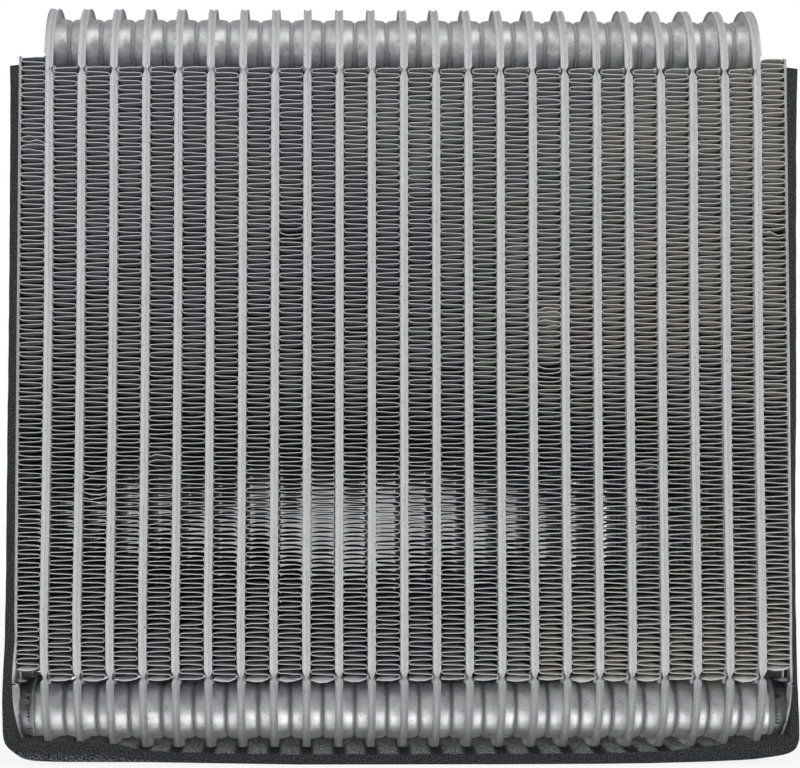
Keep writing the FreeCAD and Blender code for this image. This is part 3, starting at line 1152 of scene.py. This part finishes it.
        place, uneven, louvre, swayed, tilted, _, _ = np.array(self.stations).T
        y = np.append(low.y + place[:-1] * MM, high.y)
        waves = 2.4 * np.arange(len(y)) + random.uniform(0, 2 * math.pi) + z[:, None] * 45
        sway = self.sway * np.sin(waves) * swayed
        wobble = np.outer(self.front_wobble(z, random), uneven)
        leaning = np.clip((self.level_height - z) / (45 * MM), -1, 1)
        crest = np.abs(x) / (half - self.sheet / 2)
        inner = np.clip(1 - crest**6, 0, 1)
        lift = inner[:, None] * (wobble + sway + louvre * MM + np.outer(self.tilt * leaning, tilted))
        lift = lift + self.end_folds(z, crest, low.z, high.z, random)
        lift[:, 5:7] += (self.closing * inner * ramp(low.x, -25 * MM, -45 * MM))[:, None]

        flat = np.zeros_like(lift)
        upper = np.stack([x[:, None] + aside + flat, z[:, None] + upright + lift])
        lower = np.stack([x[:, None] - aside + flat, z[:, None] - upright + lift])
        ring_x, ring_z = np.concatenate([upper, lower[..., ::-1]], axis=-1)
        ring_x = np.clip(ring_x, -half, half) + (low.x + high.x) / 2
        ring_z = np.minimum(ring_z, high.z + self.overhang)
        ring_y = np.append(y, y[::-1])
        rings = np.stack([ring_x, np.broadcast_to(ring_y, ring_x.shape), ring_z], axis=-1)
        edge = np.isin(ring_y, [y[0], y[-1]])
        # Painted highlight: the fronts of the loose end folds take the bright edge colour.
        painted_fold_highlight = bell(z - low.z, 1.1 * MM) + 0.6 * bell(high.z - z, 0.8 * MM)
        painted_fold_highlight = np.outer(np.clip(1.8 * painted_fold_highlight, 0, 1), ramp(ring_y, y[5], y[4]))
        surface = Surface.sweep(self.core.bowed(rings), marks=np.maximum(edge, painted_fold_highlight))
        return Piece(f"{self.name}_folds", [surface], finish, "fin", self.name, "cut_edge").build()


# ---- foam


@dataclass(frozen=True)
class FoamTape:
    """The foam tape round both sides and the underside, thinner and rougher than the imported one.

    Args:
        core: The core's shared sizes.
        outline: Outer x and z and inner x and z in millimetres, from the top of the left side down,
            along the underside and up the right side.
        bends: Numbers of the outline's rows where the left side ends and the right side starts.
        pulled: Along the underside, x in millimetres, and the heights there of the front face's upper
            and lower edge.
        least: The tape's least thickness.
        ripple: How far the cut faces ripple.
        swollen_top: Height to which the inner face swells at the middle of the depth.
        swollen_rise: How much higher it swells behind the cups.
        slot: Half the width of a slot that a rim has pressed.
        slot_depth: How deep it is in front of and behind the rim.
        rim_gap: Gap under a rim.
        view_slope: How fast the underside falls away behind a lifted front edge.
        smoothings: How often the outline is smoothed.
        stations_up: Stations on each side.
        stations_across: Stations along the underside.
    """

    core: Core
    outline: tuple[tuple[float, float, float, float], ...] = (
        (-129.5, 228.0, -126.6, 228.0), (-129.3, 217.0, -126.6, 217.0), (-129.15, 188.0, -126.6, 188.0),
        (-129.15, 143.0, -126.6, 143.0), (-129.3, 115.0, -126.6, 115.0), (-129.35, 55.0, -126.6, 55.0),
        (-129.6, 40.7, -126.45, 40.7), (-129.8, 34.5, -126.9, 34.5), (-130.0, 28.0, -127.3, 28.0),
        (-130.3, 22.5, -127.65, 22.5), (-130.5, 17.0, -127.15, 17.5), (-130.5, 13.2, -126.5, 13.8),
        (-130.35, 11.0, -126.2, 11.6), (-130.0, 8.6, -125.8, 9.6), (-128.9, 6.1, -125.4, 7.6),
        (-126.6, 4.0, -124.6, 5.6), (-123.7, 2.1, -122.6, 4.9), (-121.3, 1.5, -120.8, 4.5),
        (-118.7, 1.2, -118.7, 4.2), (-112.0, 0.95, -112.0, 4.0), (-83.0, 0.82, -83.0, 3.9),
        (-66.6, 0.55, -66.6, 3.75), (-34.0, 0.0, -34.0, 3.3), (0.0, 0.0, 0.0, 3.25),
        (31.0, 0.0, 31.0, 3.35), (63.8, 0.1, 63.8, 3.5), (80.0, 0.3, 80.0, 3.7),
        (96.3, 0.7, 96.3, 4.0), (109.4, 1.25, 109.4, 4.4), (114.3, 1.6, 114.3, 4.7),
        (117.5, 2.05, 117.5, 5.0), (120.8, 2.5, 120.4, 5.5), (124.0, 3.1, 122.6, 6.1),
        (126.4, 4.0, 124.2, 7.2), (127.9, 5.7, 125.0, 8.4), (128.6, 8.2, 125.3, 10.0),
        (128.65, 12.0, 125.7, 12.5), (128.45, 15.5, 126.1, 16.0), (128.0, 22.0, 126.6, 22.0),
        (127.8, 30.0, 126.6, 30.0), (127.7, 40.0, 126.6, 40.0), (127.7, 70.0, 126.6, 70.0),
        (127.9, 85.0, 126.6, 85.0), (128.1, 100.0, 126.6, 100.0), (128.5, 114.0, 126.6, 114.0),
        (128.8, 143.0, 126.6, 143.0), (129.3, 187.0, 126.6, 187.0), (129.5, 210.0, 126.6, 210.0),
        (129.9, 221.0, 126.6, 221.0), (130.1, 228.0, 126.6, 228.0),
    )
    bends: tuple[int, int] = (13, 35)
    pulled: tuple[tuple[float, float, float], ...] = (
        (-127.0, 9.0, 5.0), (-123.0, 7.9, 4.1), (-112.0, 7.6, 4.1), (-102.0, 7.5, 4.1),
        (-98.0, 7.3, 3.6), (-94.0, 6.8, 3.1), (-89.0, 5.7, 2.4), (-84.0, 4.5, 1.8),
        (-74.0, 4.1, 0.9), (-60.0, 3.6, 0.0), (-34.0, 3.3, 0.0), (0.0, 3.25, 0.0),
        (64.0, 3.5, 0.0), (85.0, 4.2, 0.0), (92.0, 5.0, 0.0), (100.0, 6.0, 0.0),
        (108.0, 7.0, 0.0), (118.0, 7.6, 0.0), (124.0, 8.6, 0.0), (127.0, 9.4, 0.0),
    )
    least: float = 0.4 * MM
    ripple: float = 0.06 * MM
    swollen_top: float = 5.0 * MM
    swollen_rise: float = 2.2 * MM
    slot: float = 1.75 * MM
    slot_depth: float = 1.3 * MM
    rim_gap: float = 0.05 * MM
    view_slope: float = 0.098
    smoothings: int = 8
    stations_up: int = 60
    stations_across: int = 480

    def path(self) -> np.ndarray:
        """The outline at even stations, smoothed a little.

        Returns:
            Stations by outer x and z and inner x and z, in metres.
        """
        rows = np.array(self.outline) * MM
        steps = np.linalg.norm(np.diff(rows[:, :2], axis=0), axis=1)
        length = np.concatenate([[0.0], np.cumsum(steps)])
        first, last = length[list(self.bends)]
        where = np.concatenate([
            np.linspace(0, first, self.stations_up)[:-1],
            np.linspace(first, last, self.stations_across),
            np.linspace(last, length[-1], self.stations_up)[1:],
        ])
        path = np.stack([np.interp(where, length, column) for column in rows.T], axis=1)
        for _ in range(self.smoothings):
            path[1:-1] = (path[:-2] + 2 * path[1:-1] + path[2:]) / 4
        return path

    def inner_height(
        self, base: np.ndarray, ripple: np.ndarray, offset: np.ndarray, depth: np.ndarray,
        from_edge: np.ndarray, level: np.ndarray,
    ) -> np.ndarray:
        """Height of the inner face, swollen to the cups and pressed down by the rims.

        Along the underside it swells up to the cups with the distance from the nearer cut edge to the
        power of 0.75. Next to each rim it is held under the rim's round edge, and in front of the
        rim's foot it is pressed down into a slot.

        Args:
            base: Height of the unpressed face.
            ripple: How far the cut faces ripple there.
            offset: Distance from the nearest rim along X.
            depth: Place along Y.
            from_edge: Distance from the nearer cut edge.
            level: 1 along the underside and 0 on the sides.

        Returns:
            The heights.
        """
        tops = [self.swollen_top, self.swollen_top + self.swollen_rise]
        crown = np.interp(depth, [-2 * MM, 14 * MM], tops)
        swell = np.maximum(crown - base, 0) * ramp(from_edge, 0, 17 * MM) ** 0.75
        height = base + level * (swell + 0.8 * ripple)
        rim_reach = np.sqrt(np.maximum(self.core.rim**2 - depth**2, 0))
        rim_foot = np.maximum(self.core.lower_neck - rim_reach - self.rim_gap, 1.2 * MM)
        height = height + bell(offset, 1.15 * self.slot, 6) * level * np.minimum(rim_foot - height, 0)
        pressed = bell(offset, self.slot, 4) * ramp(depth, -9.5 * MM, -10.5 * MM)
        return height - self.slot_depth * ramp(from_edge, 0, 0.8 * MM) * pressed * level

    def build(self, finish: bpy.types.Material) -> bpy.types.Object:
        """Makes the tape.

        At each station of the outline a ring goes from front to back on the outside and returns on the
        inside. Where the front edge is lifted off the floor, the underside falls away behind it. The
        mark is 1 on the inner face's dry skin, which is painted paler, partly painted light, less on a
        lifted front edge, and below 0 in the slots, which are painted black as painted shade.

        Args:
            finish: The material.

        Returns:
            The tape.
        """
        low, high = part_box("foam_seal")
        path = self.path()
        inside = np.linspace(low.y + 2 * MM, high.y - 2 * MM, 15)
        y = np.concatenate([[low.y, low.y + 0.5 * MM], inside, [high.y]])
        shape = (len(path), len(y))
        out_x, out_z, in_x, in_z = (np.broadcast_to(column[:, None], shape) for column in path.T)
        depth = np.broadcast_to(y, shape)
        from_edge = np.minimum(depth - low.y, high.y - depth)
        phase = np.arange(len(path))[:, None] * 1.7
        ripple = np.sin(phase * 0.31) + np.sin(phase * 0.83 + y * 300) + np.sin(phase * 0.17)
        ripple = ripple * self.ripple

        upright = ramp(np.abs(out_x), 122 * MM, 127 * MM)
        fall = ramp(out_z, 3.5 * MM, 2.5 * MM) * np.minimum(out_z, self.view_slope * (depth - low.y))
        outer_x = out_x - np.sign(out_x) * upright * np.abs(ripple)
        uneven = (1 - upright) * 0.5 * np.abs(ripple) * (depth > low.y + MM)
        outer_z = np.maximum(out_z - fall + uneven, 0)
        where, upper, lower = np.array(self.pulled).T * MM
        level = ramp(np.abs(in_x), 126 * MM, 124 * MM) * (in_z < 10 * MM)
        front_top = np.interp(in_x, where, upper)
        front_foot = np.maximum(np.interp(out_x, where, lower), out_z) * level + out_z * (1 - level)
        outer_z[:, 0] = front_foot[:, 0]

        offset = np.abs((in_x / self.core.pitch + 0.5) % 1 - 0.5) * self.core.pitch
        base = front_top * level + in_z * (1 - level)
        inner_z = self.inner_height(base, ripple, offset, depth, from_edge, level)
        outer = np.stack([outer_x, depth, outer_z], axis=-1)
        inner = np.stack([in_x, depth, np.maximum(inner_z, outer_z + self.least)], axis=-1)
        rings = np.concatenate([outer, inner[:, ::-1]], axis=1)
        lifted = 0.5 * (depth < low.y + 6 * MM) * (front_foot > out_z + 0.1 * MM)
        # The inner face's mark paints it paler: partly painted light.
        skin = level * np.maximum(ramp(front_top, 7 * MM, 6 * MM), 0.1)
        # Painted shade: the slots in front of the rims get a negative mark, which paints them black.
        skin = skin * (1 - 2.2 * bell(offset, 1.2 * self.slot, 4) * (depth < -8 * MM))
        marks = np.concatenate([lifted, skin[:, ::-1]], axis=1)
        marks[:, [0, -1]] = 0.0
        surface = Surface.sweep(rings, marks=marks)
        tape = Piece("foam_tape", [surface], finish, "foam", "foam_seal", "skin").build()
        # Mirror rays pass the foam, which keeps the lower tank as bright as in the photo.
        tape.visible_glossy = False
        return tape


# ---- end plates


@dataclass(frozen=True)
class EndPlate:
    """A pressed side plate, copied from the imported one, whose edge is flared as a whole flange.

    Args:
        core: The core's shared sizes.
        side: Left or right.
        edge: Height and outer reach of the flange in millimetres, from the foot up.
        sheet: Thickness of the plate.
        flange_start: Distance from the neck's axis where the flange leaves the flat of the plate.
        lip_start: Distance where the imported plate's own narrow lip starts.
        lip_end: Distance where it ends.
        lip_reach: How far that lip stands out.
        lip_top: How far below the neck it ends.
        skin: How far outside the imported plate's inner face its own corners start.
        bend_zone_mm: Between which heights the copy is cut across.
        bend_count: How often.
        cut_edge: Where the bare front edge starts and where it is all bare.
        sharp_degrees: Edges that bend more than this stay sharp.
    """

    core: Core
    side: Side
    edge: tuple[tuple[float, float], ...]
    sheet: float = 0.8 * MM
    flange_start: float = 22.6 * MM
    lip_start: float = 22.6 * MM
    lip_end: float = 23.4 * MM
    lip_reach: float = 1.1 * MM
    lip_top: float = 1.9 * MM
    skin: float = 0.1 * MM
    bend_zone_mm: tuple[float, float] = (4.0, 48.0)
    bend_count: int = 34
    cut_edge: tuple[float, float] = (-24.2 * MM, -24.5 * MM)
    sharp_degrees: float = 30.0

    @property
    def name(self) -> str:
        """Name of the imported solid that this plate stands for."""
        return f"end_plate_{self.side.name.lower()}"

    def copied_mesh(self) -> bpy.types.Mesh:
        """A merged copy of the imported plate, cut across where it has to bend.

        Returns:
            The new mesh.
        """
        work = bmesh.new()
        work.from_mesh(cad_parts[self.name].data)
        bmesh.ops.remove_doubles(work, verts=work.verts, dist=MERGE_DISTANCE)
        heights = np.linspace(*self.bend_zone_mm, self.bend_count) * MM
        cuts = [((0, 0, height), (0, 0, 1)) for height in heights]
        cuts += [((0, y, 0), (0, 1, 0)) for y in (-self.flange_start, self.flange_start)]
        for place, normal in cuts:
            geometry = work.verts[:] + work.edges[:] + work.faces[:]
            bmesh.ops.bisect_plane(work, geom=geometry, plane_co=place, plane_no=normal)
        bmesh.ops.triangulate(work, faces=work.faces)
        mesh = bpy.data.meshes.new(f"{self.name}_flanged")
        work.to_mesh(mesh)
        work.free()
        return mesh

    def build(self, finish: bpy.types.Material) -> bpy.types.Object:
        """Makes the plate.

        Each corner's distance from the neck's axis, or from the middle above the neck, gives its share
        in the flange, 0 where the flange starts and 1 at the edge. The narrow lip is taken back first,
        and then the flange's reach at that height is added by the share. The front edge above the
        flange is marked as bare.

        Args:
            finish: The material.

        Returns:
            The plate.
        """
        mesh = self.copied_mesh()
        points = np.empty(len(mesh.vertices) * 3, dtype=np.float32)
        mesh.vertices.foreach_get("co", points)
        points = points.reshape(-1, 3)
        x, y, z = points[:, 0] * self.side.value, points[:, 1], points[:, 2]
        neck, face = self.core.lower_neck, self.core.end_face_x
        radius = np.hypot(y, np.minimum(z - neck, 0))
        in_lip = (z < neck - self.lip_top) & (radius > self.lip_start) & (x > face - self.skin)
        lip = ramp(radius, self.lip_start, self.lip_end) * self.lip_reach
        flat = np.where(in_lip, x - lip, x)
        heights, reach = np.array(self.edge).T * MM
        flare = np.interp(z, heights, reach) - face - self.sheet
        flare = flare * ramp(radius, self.flange_start, self.lip_end)
        points[:, 0] = (flat + np.where(flat > face - self.skin, flare, 0)) * self.side.value
        mesh.vertices.foreach_set("co", points.ravel())
        bare = ramp(y, *self.cut_edge) * (z > self.bend_zone_mm[1] * MM)
        mesh.attributes.new("mark", "FLOAT", "POINT").data.foreach_set("value", bare.astype(np.float32))
        mesh.update()
        return add_piece(mesh, finish, self.name, self.sharp_degrees)


# ---- kept solids


def dress(node: str, finish: bpy.types.Material) -> None:
    """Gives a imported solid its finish.

    Args:
        node: Name of the solid.
        finish: The material.
    """
    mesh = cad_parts[node].data
    mesh.materials.clear()
    mesh.materials.append(finish)
    log.info("%s: dressed in %s", node, finish.name)


# ---- studio


@dataclass(frozen=True)
class Studio:
    """Floor, light and camera.

    Args:
        camera_place: Where the camera stands.
        yaw: How far it turns to +X, in degrees.
        pitch: How far it looks up, in degrees.
        roll: How far it leans, in degrees.
        focal_px: Focal length in pixels of the image.
        centre_px: Where the optical axis meets the image.
        clip: Nearest and furthest distance that the camera sees.
        floor_size: Length of the floor's side.
        floor_level: Height of the floor, a little under the core.
        floor_colour: Its colour.
        floor_white: Share of plain white that the camera sees in it.
        floor_clear: Share of it that mirror rays pass.
        seen: Strength of the surroundings for camera and transmission rays.
        dim: The same for the patch of far wall behind the core, dimmed as painted shade.
        ambient: Strength for all rays that neither see nor mirror.
        aim: The point that the lamps face.
        lamps: Name, place, side length and watts of each lamp.
    """

    camera_place: tuple[float, float, float] = (-28.08 * MM, -704.48 * MM, 75.92 * MM)
    yaw: float = 0.893
    pitch: float = 2.936
    roll: float = -0.018
    focal_px: float = 2085.2
    centre_px: tuple[float, float] = (350.7, 422.7)
    clip: tuple[float, float] = (0.01, 100.0)
    floor_size: float = 3.2
    floor_level: float = -0.05 * MM
    floor_colour: str = "#F4F4F3"
    floor_white: float = 0.88
    floor_clear: float = 0.85
    seen: float = 1.0
    dim: float = 0.38
    ambient: float = 0.55
    aim: tuple[float, float, float] = (0.0, 0.0, 0.13)
    lamps: tuple[tuple[str, tuple[float, float, float], float, float], ...] = (
        ("key_right", (1.2, -1.1, 1.7), 2.0, 13.5),
        ("fill_left", (-1.5, -1.5, 0.8), 1.4, 3.0),
        ("beside_camera", (-0.03, -0.72, 0.09), 0.12, 0.5),
    )

    def add_camera(self) -> None:
        """Makes the scene's camera, with the shift that puts the optical axis where it belongs."""
        data = bpy.data.cameras.new("camera")
        data.sensor_width = SENSOR_WIDTH_MM
        data.lens = self.focal_px * SENSOR_WIDTH_MM / IMAGE_WIDTH
        data.shift_x = (IMAGE_WIDTH / 2 - self.centre_px[0]) / IMAGE_WIDTH
        data.shift_y = (self.centre_px[1] - IMAGE_HEIGHT / 2) / IMAGE_WIDTH
        data.clip_start, data.clip_end = self.clip
        camera = add_object("camera", data)
        camera.location = self.camera_place
        turn = (90 + self.pitch, self.roll, -self.yaw)
        camera.rotation_euler = [math.radians(angle) for angle in turn]
        bpy.context.scene.camera = camera

    def add_floor(self) -> None:
        """Makes the pale floor under the core.

        The camera sees it nearly white with the core's shadow, and metal mirrors the surroundings'
        lower half through it.
        """
        half, level = self.floor_size / 2, self.floor_level
        mesh = bpy.data.meshes.new("floor")
        turns = ((-half, -half), (half, -half), (half, half), (-half, half))
        mesh.from_pydata([(x, y, level) for x, y in turns], [], [(0, 1, 2, 3)])
        material = bpy.data.materials.new("matt_paper")
        add = empty_tree(material)
        rays = add("LightPath").outputs
        look = add("BsdfDiffuse", {"Color": linear(self.floor_colour)})
        white = add("Emission", {"Color": WHITE, "Strength": 1.0})
        layers = ((rays["Is Camera Ray"], self.floor_white, white),
                  (rays["Is Glossy Ray"], self.floor_clear, add("BsdfTransparent")))
        for ray, most, layer in layers:
            share = add("Math", (ray, most), operation="MULTIPLY")
            look = add("MixShader", (share, look, layer))
        add("OutputMaterial", {"Surface": look})
        mesh.materials.append(material)
        floor = add_object("floor", mesh)

    def add_lamps(self) -> None:
        """Adds soft square lamps, which metal doesn't mirror, because the surroundings do that part."""
        for name, place, size, watts in self.lamps:
            data = bpy.data.lights.new(name, "AREA")
            data.shape = "SQUARE"
            data.size = size
            data.energy = watts
            lamp = add_object(name, data)
            lamp.location = place
            lamp.visible_glossy = False
            way = Vector(self.aim) - Vector(place)
            lamp.rotation_euler = way.to_track_quat("-Z", "Y").to_euler()

    def add_world(self) -> None:
        """Makes the surroundings: white where they are seen, shaded where metal mirrors them.

        Straight ahead, where only the gaps between the folds show it, the far wall is dimmed: painted
        shade behind the core.

        Mirrored, the front of the room, where the camera stands, is dark, bright screens stand above
        and below it, brighter on the right than on the left, and the rest is dim.
        """
        world = bpy.data.worlds.new("studio")
        add = empty_tree(world)
        rays = add("LightPath").outputs
        way = add("TexCoord").outputs["Generated"]
        x, y, z = add("SeparateXYZ", (way,)).outputs
        # Each share is the least or the most of two ramps: direction, its range, and the share there.
        rows = (
            ("MINIMUM", (y, 0.12, -0.6, 0.36, 0.85), (y, -0.97, -0.78, 0.3, 0.85)),
            ("MINIMUM", (y, -0.08, -0.5, 0.33, 1.45), (y, -0.92, -0.66, 0.04, 1.5)),
            ("MAXIMUM", (z, -0.3, -0.5, 1.0, 0.0), (y, -0.5, 0.0, 1.0, 0.05)),
            ("MAXIMUM", (z, 0.05, -0.2, 1.08, 0.5), (z, -0.4, -0.8, 0.5, 3.7)),
        )
        on_left, on_right, behind, above = (
            add("Math", [add("MapRange", values) for values in pair], operation=operation)
            for operation, *pair in rows
        )
        across = add("MapRange", (x, -0.2, 0.14, 0.0, 1.0))
        mirrored = add("Mix", (across, on_left, on_right))
        for share in (behind, above):
            mirrored = add("Math", (mirrored, share), operation="MULTIPLY")
        shown = (rays["Is Camera Ray"], rays["Is Transmission Ray"])
        shown = add("Math", shown, operation="MAXIMUM")
        unseen = add("Mix", (rays["Is Glossy Ray"], self.ambient, mirrored))
        # Painted shade: the far wall straight behind the core is dimmed for camera rays.
        painted_shade_behind_core = add("MapRange", (y, 0.990, 0.993, self.seen, self.dim))
        strength = add("Mix", (shown, unseen, painted_shade_behind_core))
        back = add("Background", {"Color": WHITE, "Strength": strength})
        add("OutputWorld", {"Surface": back})
        bpy.context.scene.world = world

    def build(self) -> None:
        """Sets up camera, floor, surroundings and lamps."""
        bpy.context.scene.view_settings.view_transform = "Standard"
        self.add_camera()
        self.add_floor()
        self.add_world()
        self.add_lamps()
        log.info("studio: floor, lamps and camera are in place")


def main() -> None:
    """Builds and dresses the core, sub-assembly by sub-assembly."""
    core = Core.from_frame()
    plates = BrazedSheet().material()
    fins = FinSheet().material()
    foam = FoamRubber().material()
    block = MachinedBlock().material()
    Studio().build()
    dents = (
        Dent(1, 202 * MM, 3.5 * MM, 0.5 * MM),
        Dent(3, 90 * MM, 5.0 * MM, -0.6 * MM),
        Dent(5, 99 * MM, 3.5 * MM, 0.6 * MM),
        Dent(9, 173 * MM, 4.0 * MM, -0.5 * MM),
        Dent(17, 146 * MM, 3.0 * MM, 0.8 * MM),
        Dent(17, 127 * MM, 2.5 * MM, -0.8 * MM),
        Dent(20, 96 * MM, 3.0 * MM, 0.6 * MM),
        Dent(24, 173 * MM, 3.5 * MM, -0.6 * MM),
    )
    for number in range(1, core.tube_count + 1):
        TubeShell(core, number).build(plates)
    for number in range(1, core.tube_count + 2):
        FoldedFin(core, number, dents=dents).build(fins)
    FoamTape(core).build(foam)
    left_edge = (
        (3.0, 125.0), (8.0, 125.5), (11.0, 126.2), (14.0, 126.6), (16.0, 126.95), (19.0, 127.4),
        (23.0, 127.6), (28.0, 127.3), (34.0, 126.9), (40.0, 126.4), (48.0, 126.6),
    )
    right_edge = (
        (3.0, 124.8), (8.0, 125.2), (12.0, 125.7), (19.0, 126.4), (24.0, 126.6), (36.0, 126.45),
        (48.0, 126.6),
    )
    # The end plates' copy darkens below the lower tank's top: painted shade on their flanges.
    sides = BrazedSheet("brazed_clad_aluminium_painted_shade_below", painted_shade_below=0.85).material()
    EndPlate(core, Side.LEFT, left_edge).build(sides)
    EndPlate(core, Side.RIGHT, right_edge).build(sides)
    for node in ("tank_cap_left", "tank_cap_right"):
        dress(node, plates)
    for node in ("inlet_pipe", "outlet_pipe", "connector_block"):
        dress(node, block)


if __name__ == "__main__":
    main()
